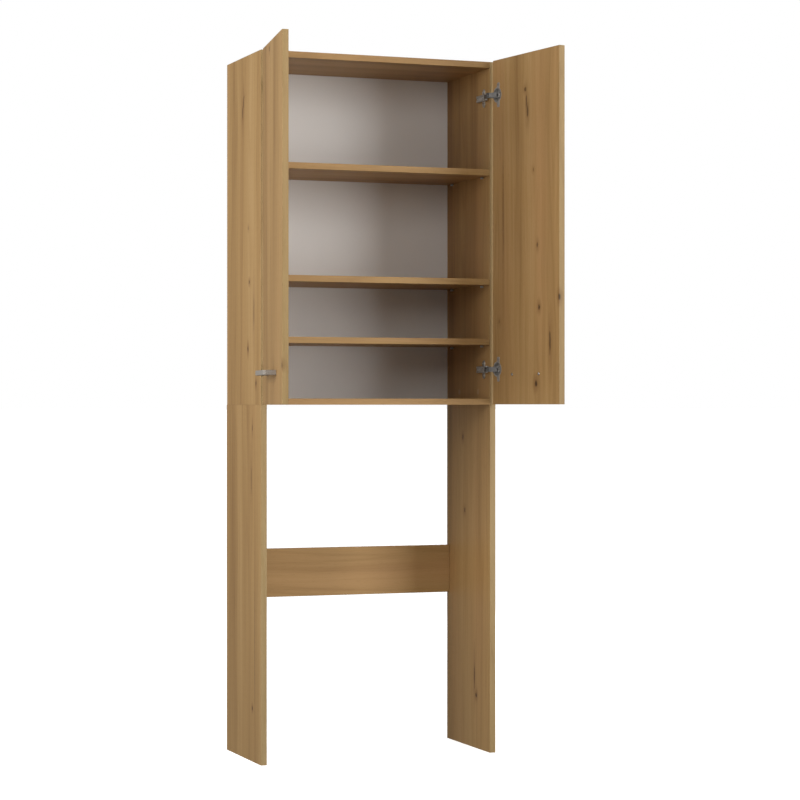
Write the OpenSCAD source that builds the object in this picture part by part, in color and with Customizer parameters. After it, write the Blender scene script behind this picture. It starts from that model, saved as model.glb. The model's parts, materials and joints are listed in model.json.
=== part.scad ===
// Over-the-toilet storage rack: two board legs and a low rear brace carry a
// two-door cabinet with three shelves, high enough for a cistern to stand under it.
// +X is the right-hand side, +Y points to the wall, +Z is up. The origin is on the
// floor, midway between the sides, in the plane of the closed doors' outer faces,
// and both doors swing about vertical axes in that plane.

/* [Rack] */
// Overall width across the side panels
rack_w = 640; // [560:10:720]
// Depth of the legs from front edge to wall
rack_d = 300; // [240:10:340]
// Height of the cabinet's top face above the floor
rack_h = 1800; // [1700:10:1900]
// Thickness of the laminated boards
board_t = 16; // [15:1:18]
// Height of the cabinet's underside above the floor
cabinet_z = 907; // [860:1:920]

/* [Shelves] */
// Height of the lower shelf's top face
lower_shelf_z = 1079; // [1060:1:1110]
// Height of the middle shelf's top face
middle_shelf_z = 1235; // [1190:1:1290]
// Height of the upper shelf's top face
upper_shelf_z = 1520; // [1440:1:1560]
// Play between a loose shelf's end and the side panel
shelf_play = 0.5; // [0.3:0.1:1.5]

/* [Back and brace] */
// Thickness of the nailed fibreboard back
back_t = 3; // [2.5:0.5:4]
// How far the back stops short of the cabinet's outline
back_inset = 2; // [1:0.5:4]
// Height of the brace between the legs
brace_h = 128; // [80:1:160]
// Height of the brace's lower edge above the floor
brace_z = 399; // [300:1:500]

/* [Doors] */
// Gap between the closed doors and the cabinet's front edges
door_gap = 1.5; // [1.2:0.1:2]
// Gap between the two closed doors
meeting_gap = 2; // [1:0.5:4]
// Opening angle of the left door at rest
left_open = 99.3; // [0:0.1:105]
// Opening angle of the right door at rest
right_open = 98.1; // [0:0.1:105]

/* [Hinges] */
// Distance from a door's end to the centre of the nearer hinge
hinge_inset = 91; // [80:1:110]
// Radius of the hinge cup
cup_r = 17.5; // [17:0.5:17.5]
// Board left between the cup and the door's hinge edge
cup_margin = 5; // [4:0.5:6]
// Depth of the hinge cup
cup_depth = 11.5; // [11:0.5:12]
// Radius of the hinge pivot pins
pin_r = 1.5; // [1.3:0.1:1.6]
// Radial play of a pivot pin in its bore
pin_play = 0.05; // [0.03:0.01:0.08]

/* [Handles] */
// Distance between a handle's two screws
handle_pitch = 128; // [96:32:128]
// How far a handle stands out from its door
handle_reach = 33; // [22:1:36]
// Height of the handle's bar, and width of its feet
handle_bar = 12; // [10:1:14]
// Height of the handles above the floor
handle_z = 985; // [960:1:1040]

/* [Hidden] */

$fn = 48;
eps = 0.01;
// Overlap of shapes that are joined, and how far a through bore's tool stands out
overlap = 1;
// Extra depth of a blind bore
bore_over = 0.5;
oak = "#b08c5c";
fibreboard = "#e4e0da";
steel = "#9a9890";
zinc = "#c9c8c2";
beech = "#d9b88a";

// Carcass
front_y = board_t + door_gap;
rear_y = front_y + rack_d;
side_d = rack_d - back_t;
inner_x = rack_w / 2 - board_t;
cabinet_h = rack_h - cabinet_z;
brace_t = board_t;

// Cam connectors, each drilled from a board's face with its bolt running to the joint
cam_r = 7.5;
cam_h = 12.5;
cam_cap_t = 1;
cam_set = 34;
cam_gap = 0.2;
cam_pocket = 4.5;
cam_slot = [8, 1.2, 2];
cam_bolt_r = 3.3;
cam_bolt_play = 0.4;
cam_ball_r = 3;
cam_ball_z = [-3, 1];
cam_neck_r = 1.6;
cam_shaft_z = [cam_r + 1, cam_set - 0.5];
cam_thread_r = 2.5;
cam_thread_l = 11;
cam_fit = 0.05;
panel_cam_y = [front_y + 50, rear_y - 60];
leg_cam_y = [front_y + 80, rear_y - 90];
brace_cam_z = [brace_z + 0.25 * brace_h, brace_z + 0.75 * brace_h];

// Dowels and shelf pins
dowel_r = 4;
dowel_l = 30;
dowel_fit = 0.05;
dowel_grip = 10;
panel_dowel_y = (panel_cam_y[0] + panel_cam_y[1]) / 2;
leg_dowel_y = [front_y + 25, rear_y - 35];
shelf_pin_r = 2.5;
shelf_pin_head_r = 3;
shelf_pin_l = 8;
shelf_back_gap = 1;
shelf_pin_y = [front_y + 45, rear_y - 45];
shelf_tops = [lower_shelf_z, middle_shelf_z, upper_shelf_z];

// Nails of the back panel
nail_r = 0.7;
nail_l = 17;
nail_head_r = 2;
nail_head_t = 0.6;
nail_fit = 0.05;
nail_end = 40;
nail_rows = 8;
nail_columns = 4;
nail_pitch = 150;

// Wall brackets
bracket_x = 240;
bracket_w = 20;
bracket_leg = 28;
bracket_t = 2;
bracket_hole_r = 2.75;
bracket_screw_r = 1.75;
bracket_screw_l = 13;
bracket_screw_play = 0.3;
bracket_head = [3.6, 2.2];

// Doors, seen from the hinge: x runs along the width, y towards the front, and
// the origin is the closed door's outer front corner at the hinge side
door_w = (rack_w - meeting_gap) / 2;
door_z = cabinet_z + 1;
door_h = rack_h - door_z;
hinge_z = [door_z + hinge_inset, rack_h - hinge_inset];
handle_x = door_w / 2;
handle_t = 6;
handle_corner_r = [7, 3];
handle_screw_r = 1.95;
handle_screw_l = board_t + 9;
handle_screw_play = 0.1;
handle_head = [4, 2.4];
handle_hole_r = 2.25;
handle_bore_l = 12;

// Hinge: the arm pin and the cup pin fix the linkage. The arm link runs from the arm
// pin and is as long as the line from the swing axis to the cup pin, and the cup link
// is as long as the line from the swing axis to the arm pin. The two lines and the two
// links make a parallelogram, so the door turns about its own front corner.
arm_pin = [board_t + 8, -front_y - 4];
cup_x = cup_margin + cup_r;
cup_pin = [cup_x + 1.5, -11.5];
open_pivot_play = 0.3;
cup_wall = 1;
flange_t = 1;
flange_r = 20;
wing_r = 6;
cup_screw = [cup_x + 5.5, 26];
cup_screw_r = 1.75;
cup_screw_l = 12;
cup_head = [3.3, 1];
lug_r = 3.6;
lug_z = [3.3, 4.8];
arm_link_half = 1.9;
arm_link_boss_r = [3.3, 3.2];
arm_link_boss_z = 4.8;
arm_link_z = 3.5;
cup_link_r = 3.8;
cup_link_cheek_z = [5.1, 6.6];
cup_link_web_x = [5, norm(arm_pin) - 4.5];
cup_link_web_t = 1.4;
link_pin_end = 0.4;
pin_end = 0.6;
arm_cheek_z = [6.9, 8.4];
arm_web_x = [board_t + 8, board_t + 9.5];
arm_foot_x = board_t + 3;
arm_web_front = -front_y - 14;
arm_rear = -front_y - 70;
arm_nose_r = 4;
plate_t = 2.5;
spine_h = 6;
spine_half = 6.4;
spine_y = [-front_y - 72, -front_y - 22];
wing_y = -front_y - 37;
wing_half = 24;
wing_w = 14;
plate_screw_z = 16;
plate_screw_r = 3.15;
plate_screw_l = 11;
plate_head = [5, 2.4];
plate_floor = 1;
arm_screw_y = [wing_y + 9, wing_y - 22];
arm_screw_r = 2.4;
arm_screw_tip = board_t + 1.5;
arm_head = [4.2, 2.2];
screw_fit = 0.05;

function turned(p, a) = [p.x * cos(a) - p.y * sin(a), p.x * sin(a) + p.y * cos(a)];
function heading(p) = atan2(p.y, p.x);

// ---- placing ----

module both_sides() {
    children();
    mirror([1, 0, 0]) children();
}

// The hinge frame of the right-hand door, opened by the given angle
module right(angle = 0)
    translate([rack_w / 2, 0, 0]) rotate([0, 0, 180 + angle]) children();

module left(angle = 0)
    mirror([1, 0, 0]) right(angle) children();

module raise(z)
    translate([0, 0, z]) children();

module at_both_hinges()
    for (z = hinge_z) raise(z) children();

// Carries the arm link round the arm pin
module swing_arm_link(angle)
    translate([arm_pin.x, arm_pin.y, 0]) rotate([0, 0, angle]) children();

// Carries the cup link along with the cup pin, without turning it
module carry_cup_link(angle)
    translate([turned(cup_pin, angle).x, turned(cup_pin, angle).y, 0]) children();

module along_x()
    rotate([0, 90, 0]) children();

module along_y()
    rotate([-90, 0, 0]) children();

// ---- shared shapes ----

// A plate of half width r round the line from the origin to p, between heights z0 and z1
module link_plate(p, r, z0, z1) {
    length = norm(p);
    rotate([0, 0, heading(p)]) translate([0, 0, z0]) {
        cylinder(r = r, h = z1 - z0);
        translate([length, 0, 0]) cylinder(r = r, h = z1 - z0);
        translate([0, -r, 0]) cube([length, 2 * r, z1 - z0]);
    }
}

module upright(r, half)
    translate([0, 0, -half]) cylinder(r = r, h = 2 * half);

// A screw head of the given radius and height: a disc with a cone on it
module pan_head(size) {
    rim = 0.6 * size.y;
    cylinder(r = size.x, h = rim);
    translate([0, 0, rim - eps]) cylinder(r1 = size.x, r2 = 0.6 * size.x, h = size.y - rim + eps);
}

// ---- fastener positions, for the right-hand side ----

module place_panel_cams(z, flip)
    for (y = panel_cam_y) translate([inner_x - cam_set, y, z]) rotate([flip, 0, 0]) children();

module place_top_cams()
    place_panel_cams(rack_h, 0) children();

module place_bottom_cams()
    place_panel_cams(cabinet_z, 180) children();

module place_brace_cams()
    for (z = brace_cam_z)
        translate([inner_x - cam_set, rear_y, z]) rotate([-90, 0, 0]) children();

module place_leg_cams()
    for (y = leg_cam_y)
        translate([inner_x, y, cabinet_z + cam_set]) rotate([180, 90, 0]) children();

module place_all_cams()
    both_sides() {
        place_top_cams() children();
        place_bottom_cams() children();
        place_brace_cams() children();
        place_leg_cams() children();
    }

module place_panel_dowel(z)
    translate([inner_x - dowel_l + dowel_grip, panel_dowel_y, z]) along_x() children();

module place_top_dowel()
    place_panel_dowel(rack_h - board_t / 2) children();

module place_bottom_dowel()
    place_panel_dowel(cabinet_z + board_t / 2) children();

module place_brace_dowel()
    translate([inner_x - dowel_l + dowel_grip, rear_y - brace_t / 2, brace_z + brace_h / 2])
        along_x() children();

module place_leg_dowels()
    for (y = leg_dowel_y) translate([inner_x + board_t / 2, y, cabinet_z - dowel_l / 2]) children();

module place_shelf_pins()
    for (top = shelf_tops, y = shelf_pin_y)
        translate([inner_x, y, top - board_t - shelf_pin_head_r]) along_x() children();

module place_side_nails()
    for (i = [0 : nail_rows - 1])
        translate([rack_w / 2 - board_t / 2, rear_y,
            cabinet_z + nail_end + i * (cabinet_h - 2 * nail_end) / (nail_rows - 1)])
                along_y() children();

module place_edge_nails(z)
    for (i = [0 : nail_columns - 1])
        translate([(i - (nail_columns - 1) / 2) * nail_pitch, rear_y, z]) along_y() children();

module place_top_nails()
    place_edge_nails(rack_h - board_t / 2) children();

module place_bottom_nails()
    place_edge_nails(cabinet_z + board_t / 2) children();

module place_plate_screws()
    at_both_hinges() for (side = [-1, 1])
        translate([board_t + plate_t, wing_y, side * plate_screw_z]) along_x() children();

// ---- bores ----

module cam_bores() {
    translate([0, 0, -cam_h]) cylinder(r = cam_r, h = cam_h + eps);
    translate([0, 0, -board_t / 2]) along_x()
        cylinder(r = cam_bolt_r + cam_bolt_play, h = cam_set + eps);
    translate([cam_set, 0, -board_t / 2]) along_x()
        cylinder(r = cam_thread_r + cam_fit, h = cam_thread_l + bore_over);
}

module dowel_bore()
    translate([0, 0, -bore_over])
        cylinder(r = dowel_r + dowel_fit, h = dowel_l + 2 * bore_over);

module shelf_pin_bore()
    translate([0, 0, -eps]) cylinder(r = shelf_pin_r + cam_fit, h = shelf_pin_l + 2 * bore_over);

module nail_bore() {
    translate([0, 0, -nail_l - bore_over])
        cylinder(r = nail_r + nail_fit, h = nail_l + 2 * bore_over);
    translate([0, 0, -nail_head_t]) cylinder(r = nail_head_r + nail_fit, h = nail_head_t + eps);
}

// ---- boards ----

module side_panel()
    color(oak) difference() {
        translate([inner_x, front_y, cabinet_z]) cube([board_t, side_d, cabinet_h]);
        place_top_cams() cam_bores();
        place_bottom_cams() cam_bores();
        place_leg_cams() cam_bores();
        place_top_dowel() dowel_bore();
        place_bottom_dowel() dowel_bore();
        place_leg_dowels() dowel_bore();
        place_shelf_pins() shelf_pin_bore();
        place_side_nails() nail_bore();
        right() place_plate_screws()
            translate([0, 0, -plate_t - plate_screw_l - bore_over])
                cylinder(r = plate_screw_r + screw_fit, h = plate_screw_l + plate_t);
    }

module leg_panel()
    color(oak) difference() {
        translate([inner_x, front_y, 0]) cube([board_t, rack_d, cabinet_z]);
        place_brace_cams() cam_bores();
        place_brace_dowel() dowel_bore();
        place_leg_cams() cam_bores();
        place_leg_dowels() dowel_bore();
    }

module top_panel()
    color(oak) difference() {
        translate([-inner_x, front_y, rack_h - board_t]) cube([2 * inner_x, side_d, board_t]);
        both_sides() {
            place_top_cams() cam_bores();
            place_top_dowel() dowel_bore();
            translate([bracket_x, rear_y - bracket_leg / 2, rack_h - bracket_screw_l + bore_over])
                cylinder(r = bracket_screw_r + screw_fit, h = bracket_screw_l);
        }
        place_top_nails() nail_bore();
    }

module bottom_panel()
    color(oak) difference() {
        translate([-inner_x, front_y, cabinet_z]) cube([2 * inner_x, side_d, board_t]);
        both_sides() {
            place_bottom_cams() cam_bores();
            place_bottom_dowel() dowel_bore();
        }
        place_bottom_nails() nail_bore();
    }

module shelf(top)
    color(oak) translate([-inner_x + shelf_play, front_y, top - board_t])
        cube([2 * (inner_x - shelf_play), side_d - shelf_back_gap, board_t]);

module back_panel()
    color(fibreboard) difference() {
        translate([-rack_w / 2 + back_inset, rear_y - back_t, cabinet_z + back_inset])
            cube([rack_w - 2 * back_inset, back_t, cabinet_h - 2 * back_inset]);
        both_sides() place_side_nails() nail_bore();
        place_top_nails() nail_bore();
        place_bottom_nails() nail_bore();
    }

module rear_brace()
    color(oak) difference() {
        translate([-inner_x, rear_y - brace_t, brace_z]) cube([2 * inner_x, brace_t, brace_h]);
        both_sides() {
            place_brace_cams() cam_bores();
            place_brace_dowel() dowel_bore();
        }
    }

// ---- carcass fasteners ----

module cam_housing()
    difference() {
        translate([0, 0, -cam_h + cam_gap])
            cylinder(r = cam_r - cam_fit, h = cam_h - cam_cap_t - 2 * cam_gap);
        translate([-cam_pocket, 0, -board_t / 2]) along_x()
            cylinder(r = cam_bolt_r + cam_bolt_play, h = cam_pocket + cam_r + bore_over);
        translate([-cam_slot.x / 2, -cam_slot.y / 2, -cam_cap_t - cam_slot.z]) cube(cam_slot);
    }

module cam_bolt()
    translate([0, 0, -board_t / 2]) along_x() {
        translate([0, 0, cam_ball_z[0]])
            cylinder(r = cam_ball_r, h = cam_ball_z[1] - cam_ball_z[0]);
        cylinder(r = cam_neck_r, h = cam_shaft_z[0] + overlap);
        translate([0, 0, cam_shaft_z[0]])
            cylinder(r = cam_bolt_r, h = cam_shaft_z[1] - cam_shaft_z[0]);
        translate([0, 0, cam_set - overlap]) cylinder(r = cam_thread_r, h = cam_thread_l + overlap);
    }

module cam_cap()
    translate([0, 0, -cam_cap_t]) cylinder(r = cam_r - cam_fit, h = cam_cap_t);

module cam_housings()
    color(zinc) place_all_cams() cam_housing();

module cam_bolts()
    color(steel) place_all_cams() cam_bolt();

module cam_caps()
    color(oak) place_all_cams() cam_cap();

module wooden_dowels()
    color(beech) both_sides() {
        place_top_dowel() cylinder(r = dowel_r, h = dowel_l);
        place_bottom_dowel() cylinder(r = dowel_r, h = dowel_l);
        place_brace_dowel() cylinder(r = dowel_r, h = dowel_l);
        place_leg_dowels() cylinder(r = dowel_r, h = dowel_l);
    }

module shelf_pins()
    color(zinc) both_sides() place_shelf_pins() {
        translate([0, 0, -shelf_pin_l]) cylinder(r = shelf_pin_head_r, h = shelf_pin_l);
        translate([0, 0, -eps]) cylinder(r = shelf_pin_r, h = shelf_pin_l + eps);
    }

module nail() {
    translate([0, 0, -nail_l]) cylinder(r = nail_r, h = nail_l);
    translate([0, 0, -nail_head_t]) cylinder(r = nail_head_r, h = nail_head_t);
}

module back_panel_nails()
    color(steel) {
        both_sides() place_side_nails() nail();
        place_top_nails() nail();
        place_bottom_nails() nail();
    }

module wall_brackets()
    color(zinc) both_sides() translate([bracket_x, rear_y, rack_h]) difference() {
        union() {
            translate([-bracket_w / 2, -bracket_leg, 0]) cube([bracket_w, bracket_leg, bracket_t]);
            translate([-bracket_w / 2, -bracket_t, 0]) cube([bracket_w, bracket_t, bracket_leg]);
        }
        translate([0, -bracket_leg / 2, -overlap])
            cylinder(r = bracket_screw_r + bracket_screw_play, h = bracket_t + 2 * overlap);
        translate([0, -bracket_t - overlap, bracket_leg / 2 + bracket_t]) along_y()
            cylinder(r = bracket_hole_r, h = bracket_t + 2 * overlap);
    }

module wall_bracket_screws()
    color(steel) both_sides() translate([bracket_x, rear_y - bracket_leg / 2, rack_h + bracket_t]) {
        translate([0, 0, -bracket_screw_l]) cylinder(r = bracket_screw_r, h = bracket_screw_l);
        pan_head(bracket_head);
    }

// ---- hinge parts, in the hinge frame with the door shut ----

module hinge_plate()
    color(zinc) difference() {
        union() {
            translate([board_t, wing_y - wing_w / 2, -wing_half + wing_w / 2])
                cube([plate_t, wing_w, 2 * wing_half - wing_w]);
            for (side = [-1, 1]) translate([board_t, wing_y, side * (wing_half - wing_w / 2)])
                along_x() cylinder(r = wing_w / 2, h = plate_t);
            translate([board_t, spine_y[0], -spine_half])
                cube([spine_h, spine_y[1] - spine_y[0], 2 * spine_half]);
        }
        for (side = [-1, 1]) translate([board_t - overlap, wing_y, side * plate_screw_z])
            along_x() cylinder(r = plate_screw_r + screw_fit, h = plate_t + 2 * overlap);
        for (y = arm_screw_y) translate([board_t + plate_floor, y, 0])
            along_x() cylinder(r = arm_screw_r + screw_fit, h = spine_h);
    }

module hinge_arm()
    color(steel) difference() {
        union() {
            for (side = [0, 1]) mirror([0, 0, side]) translate([0, 0, arm_cheek_z[0]]) {
                linear_extrude(arm_cheek_z[1] - arm_cheek_z[0]) {
                    translate([arm_foot_x, arm_rear])
                        square([arm_web_x[1] - arm_foot_x, arm_web_front - arm_rear]);
                    translate([arm_pin.x - arm_nose_r, arm_web_front - arm_nose_r])
                        square([2 * arm_nose_r, arm_pin.y - arm_web_front + arm_nose_r]);
                    translate(arm_pin) circle(r = arm_nose_r);
                }
            }
            translate([arm_web_x[0], arm_rear, -arm_cheek_z[1]])
                cube([arm_web_x[1] - arm_web_x[0], arm_web_front - arm_rear, 2 * arm_cheek_z[1]]);
        }
        translate([arm_pin.x, arm_pin.y, 0]) upright(pin_r + pin_play, arm_cheek_z[1] + overlap);
        for (y = arm_screw_y) translate([arm_web_x[0] - overlap, y, 0]) along_x()
            cylinder(r = arm_screw_r + screw_fit, h = arm_web_x[1] - arm_web_x[0] + 2 * overlap);
    }

module plate_screws()
    place_plate_screws() {
        translate([0, 0, -plate_t - plate_screw_l])
            cylinder(r = plate_screw_r, h = plate_screw_l + plate_t);
        pan_head(plate_head);
    }

module arm_screws()
    at_both_hinges() for (y = arm_screw_y) translate([arm_web_x[1], y, 0]) along_x() {
        translate([0, 0, arm_screw_tip - arm_web_x[1]])
            cylinder(r = arm_screw_r, h = arm_web_x[1] - arm_screw_tip);
        pan_head(arm_head);
    }

module hinge_plate_screws()
    color(steel) {
        left() plate_screws();
        right() plate_screws();
    }

module hinge_arm_screws()
    color(steel) {
        left() arm_screws();
        right() arm_screws();
    }

module arm_pins()
    at_both_hinges() translate([arm_pin.x, arm_pin.y, 0]) upright(pin_r, arm_cheek_z[1] + pin_end);

module hinge_arm_pins()
    color(zinc) {
        left() arm_pins();
        right() arm_pins();
    }

module arm_link()
    color(zinc) difference() {
        union() {
            link_plate(cup_pin, arm_link_half, -arm_link_z, arm_link_z);
            upright(arm_link_boss_r[0], arm_link_boss_z);
            translate([cup_pin.x, cup_pin.y, 0]) upright(arm_link_boss_r[1], arm_link_boss_z);
        }
        upright(pin_r + pin_play, arm_link_boss_z + overlap);
        translate([cup_pin.x, cup_pin.y, 0])
            upright(pin_r + pin_play, arm_link_boss_z + overlap);
    }

module link_pin()
    color(steel) translate([cup_pin.x, cup_pin.y, 0])
        upright(pin_r, cup_link_cheek_z[1] + link_pin_end);

// A channel with its web on the side that faces away from the arm link
module cup_link()
    color(zinc) difference() {
        union() {
            for (side = [0, 1]) mirror([0, 0, side])
                link_plate(arm_pin, cup_link_r, cup_link_cheek_z[0], cup_link_cheek_z[1]);
            rotate([0, 0, heading(arm_pin)])
                translate([cup_link_web_x[0], cup_link_r - cup_link_web_t,
                        -cup_link_cheek_z[0] - eps])
                    cube([cup_link_web_x[1] - cup_link_web_x[0], cup_link_web_t,
                        2 * (cup_link_cheek_z[0] + eps)]);
        }
        upright(pin_r + open_pivot_play, cup_link_cheek_z[1] + overlap);
        translate([arm_pin.x, arm_pin.y, 0])
            upright(pin_r + pin_play, cup_link_cheek_z[1] + overlap);
    }

module cup_solid(r, depth)
    translate([cup_x, -board_t, 0]) along_y() cylinder(r = r, h = depth);

module hinge_cup()
    color(zinc) difference() {
        union() {
            difference() {
                union() {
                    cup_solid(cup_r, cup_depth);
                    translate([cup_x, -board_t - flange_t, 0]) along_y()
                        cylinder(r = flange_r, h = flange_t);
                    for (side = [-1, 1])
                        translate([cup_screw.x, -board_t - flange_t, side * cup_screw.y])
                            along_y() cylinder(r = wing_r, h = flange_t);
                    translate([cup_screw.x - wing_r, -board_t - flange_t, -cup_screw.y])
                        cube([2 * wing_r, flange_t, 2 * cup_screw.y]);
                }
                translate([cup_x, -board_t - flange_t - overlap, 0]) along_y()
                    cylinder(r = cup_r - cup_wall, h = cup_depth + flange_t - cup_wall + overlap);
                for (side = [-1, 1])
                    translate([cup_screw.x, -board_t - flange_t - overlap, side * cup_screw.y])
                        along_y() cylinder(r = cup_screw_r + screw_fit, h = flange_t + 2 * overlap);
            }
            for (side = [0, 1]) mirror([0, 0, side])
                translate([cup_pin.x, cup_pin.y, 0])
                    link_plate([0, -board_t + cup_depth - 0.5 * cup_wall - lug_r - cup_pin.y],
                        lug_r, lug_z[0], lug_z[1]);
        }
        translate([cup_pin.x, cup_pin.y, 0]) upright(pin_r + pin_play, lug_z[1] + overlap);
    }

module cup_screws()
    color(steel) at_both_hinges() for (side = [-1, 1])
        translate([cup_screw.x, -board_t - flange_t, side * cup_screw.y]) rotate([90, 0, 0]) {
            translate([0, 0, -flange_t - cup_screw_l])
                cylinder(r = cup_screw_r, h = flange_t + cup_screw_l);
            pan_head(cup_head);
        }

module cup_pins()
    color(steel) at_both_hinges() translate([cup_pin.x, cup_pin.y, 0])
        upright(pin_r, cup_link_cheek_z[1] + pin_end);

// ---- doors and handles, in the hinge frame with the door shut ----

module place_handle_screws()
    for (side = [-1, 1]) translate([handle_x + side * handle_pitch / 2, -board_t, handle_z])
        along_y() children();

module door()
    color(oak) difference() {
        translate([0, -board_t, door_z]) cube([door_w, board_t, door_h]);
        at_both_hinges() {
            translate([0, -eps, 0]) cup_solid(cup_r + cam_fit, cup_depth + cam_fit);
            for (side = [-1, 1]) translate([cup_screw.x, -board_t - eps, side * cup_screw.y])
                along_y() cylinder(r = cup_screw_r + screw_fit, h = cup_screw_l + bore_over);
        }
        place_handle_screws() translate([0, 0, -overlap])
            cylinder(r = handle_hole_r, h = board_t + 2 * overlap);
    }

// Plan outline of a handle's bar: a rectangle with its two front corners rounded
module handle_outline(length, reach, r) {
    translate([-length / 2, 0]) square([length, reach - r]);
    translate([-length / 2 + r, 0]) square([length - 2 * r, reach]);
    for (side = [-1, 1]) translate([side * (length / 2 - r), reach - r]) circle(r = r);
}

module handle()
    color(zinc) difference() {
        translate([handle_x, 0, handle_z - handle_bar / 2]) linear_extrude(handle_bar)
            difference() {
                handle_outline(handle_pitch + handle_bar, handle_reach, handle_corner_r[0]);
                translate([0, -eps])
                    handle_outline(handle_pitch - handle_bar, handle_reach - handle_t,
                        handle_corner_r[1]);
            }
        place_handle_screws() translate([0, 0, board_t - overlap])
            cylinder(r = handle_screw_r + handle_screw_play, h = handle_bore_l + overlap);
    }

module handle_screws()
    color(steel) place_handle_screws() {
        cylinder(r = handle_screw_r, h = handle_screw_l);
        mirror([0, 0, 1]) pan_head(handle_head);
    }

// ---- the nodes ----

mirror([1, 0, 0]) side_panel();  // left_side_panel
side_panel();  // right_side_panel
top_panel();
bottom_panel();
shelf(upper_shelf_z);  // upper_shelf
shelf(middle_shelf_z);  // middle_shelf
shelf(lower_shelf_z);  // lower_shelf
back_panel();
mirror([1, 0, 0]) leg_panel();  // left_leg_panel
leg_panel();  // right_leg_panel
rear_brace();
cam_housings();
cam_bolts();
cam_caps();
wooden_dowels();
shelf_pins();
back_panel_nails();
wall_brackets();
wall_bracket_screws();

left() raise(hinge_z[1]) hinge_plate();  // left_upper_hinge_plate
left() raise(hinge_z[0]) hinge_plate();  // left_lower_hinge_plate
right() raise(hinge_z[1]) hinge_plate();  // right_upper_hinge_plate
right() raise(hinge_z[0]) hinge_plate();  // right_lower_hinge_plate
left() raise(hinge_z[1]) hinge_arm();  // left_upper_hinge_arm
left() raise(hinge_z[0]) hinge_arm();  // left_lower_hinge_arm
right() raise(hinge_z[1]) hinge_arm();  // right_upper_hinge_arm
right() raise(hinge_z[0]) hinge_arm();  // right_lower_hinge_arm
hinge_plate_screws();
hinge_arm_screws();
hinge_arm_pins();

left(left_open) door();  // left_door
right(right_open) door();  // right_door
left(left_open) handle();  // left_handle
right(right_open) handle();  // right_handle
left(left_open) handle_screws();  // left_handle_screws
right(right_open) handle_screws();  // right_handle_screws
left(left_open) raise(hinge_z[1]) hinge_cup();  // left_upper_hinge_cup
left(left_open) raise(hinge_z[0]) hinge_cup();  // left_lower_hinge_cup
right(right_open) raise(hinge_z[1]) hinge_cup();  // right_upper_hinge_cup
right(right_open) raise(hinge_z[0]) hinge_cup();  // right_lower_hinge_cup
left(left_open) cup_screws();  // left_hinge_cup_screws
right(right_open) cup_screws();  // right_hinge_cup_screws
left(left_open) cup_pins();  // left_hinge_cup_pins
right(right_open) cup_pins();  // right_hinge_cup_pins

left() raise(hinge_z[1]) swing_arm_link(left_open) arm_link();  // left_upper_arm_link
left() raise(hinge_z[0]) swing_arm_link(left_open) arm_link();  // left_lower_arm_link
right() raise(hinge_z[1]) swing_arm_link(right_open) arm_link();  // right_upper_arm_link
right() raise(hinge_z[0]) swing_arm_link(right_open) arm_link();  // right_lower_arm_link
left() at_both_hinges() swing_arm_link(left_open) link_pin();  // left_link_pins
right() at_both_hinges() swing_arm_link(right_open) link_pin();  // right_link_pins
left() raise(hinge_z[1]) carry_cup_link(left_open) cup_link();  // left_upper_cup_link
left() raise(hinge_z[0]) carry_cup_link(left_open) cup_link();  // left_lower_cup_link
right() raise(hinge_z[1]) carry_cup_link(right_open) cup_link();  // right_upper_cup_link
right() raise(hinge_z[0]) carry_cup_link(right_open) cup_link();  // right_lower_cup_link
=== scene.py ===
"""Looks of the over-the-toilet storage rack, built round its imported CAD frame."""

import json
import math

import bmesh
import bpy
from mathutils import Matrix, Vector


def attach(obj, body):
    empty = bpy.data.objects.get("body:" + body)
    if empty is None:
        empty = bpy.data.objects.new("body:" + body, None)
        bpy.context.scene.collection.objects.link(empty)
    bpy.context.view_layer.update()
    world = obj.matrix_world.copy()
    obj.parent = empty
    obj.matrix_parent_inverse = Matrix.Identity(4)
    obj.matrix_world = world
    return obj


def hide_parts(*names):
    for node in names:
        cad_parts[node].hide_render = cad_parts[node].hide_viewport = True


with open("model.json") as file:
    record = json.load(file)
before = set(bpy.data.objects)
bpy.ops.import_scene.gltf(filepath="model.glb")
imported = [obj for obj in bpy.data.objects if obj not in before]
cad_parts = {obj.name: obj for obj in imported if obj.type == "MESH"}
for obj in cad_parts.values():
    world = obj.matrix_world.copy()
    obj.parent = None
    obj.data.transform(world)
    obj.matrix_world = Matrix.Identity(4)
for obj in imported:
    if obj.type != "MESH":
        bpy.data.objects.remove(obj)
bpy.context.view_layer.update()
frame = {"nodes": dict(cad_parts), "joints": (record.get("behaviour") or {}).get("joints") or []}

NODES = frame["nodes"]
JOINTS = {joint["name"]: joint for joint in frame["joints"]}
SIDES = ("left", "right")
LEVELS = ("upper", "lower")
MM = 0.001
SHARP = math.cos(math.radians(30))
MERGE = 2e-6


# -------- frame helpers

def hinge_frame(side, opened):
    """Matrix from a door's own frame to the row frame: x along the width, y to the
    front, z up, with the origin on the swing axis at floor level."""
    joint = JOINTS[side + "_door_swing"]
    turn = -joint["range_deg"][0] if opened else 0.0
    pivot = Vector(joint["pos_m"])
    place = Matrix.Rotation(math.radians(180 + turn), 4, "Z")
    place = Matrix.Translation((abs(pivot.x), pivot.y, 0)) @ place
    if side == "left":
        place = Matrix.Scale(-1, 4, (1, 0, 0)) @ place
    return place


SHUT = {side: hinge_frame(side, False) for side in SIDES}
OPEN = {side: hinge_frame(side, True) for side in SIDES}


def corners(points):
    low = Vector([min(p[i] for p in points) for i in range(3)])
    high = Vector([max(p[i] for p in points) for i in range(3)])
    return low, high


def box_in(node, place):
    """Lowest and highest corner of a CAD node in the frame that place stands for."""
    back = place.inverted()
    return corners([back @ v.co for v in NODES[node].data.vertices])


def centre(box):
    return (box[0] + box[1]) / 2


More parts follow.
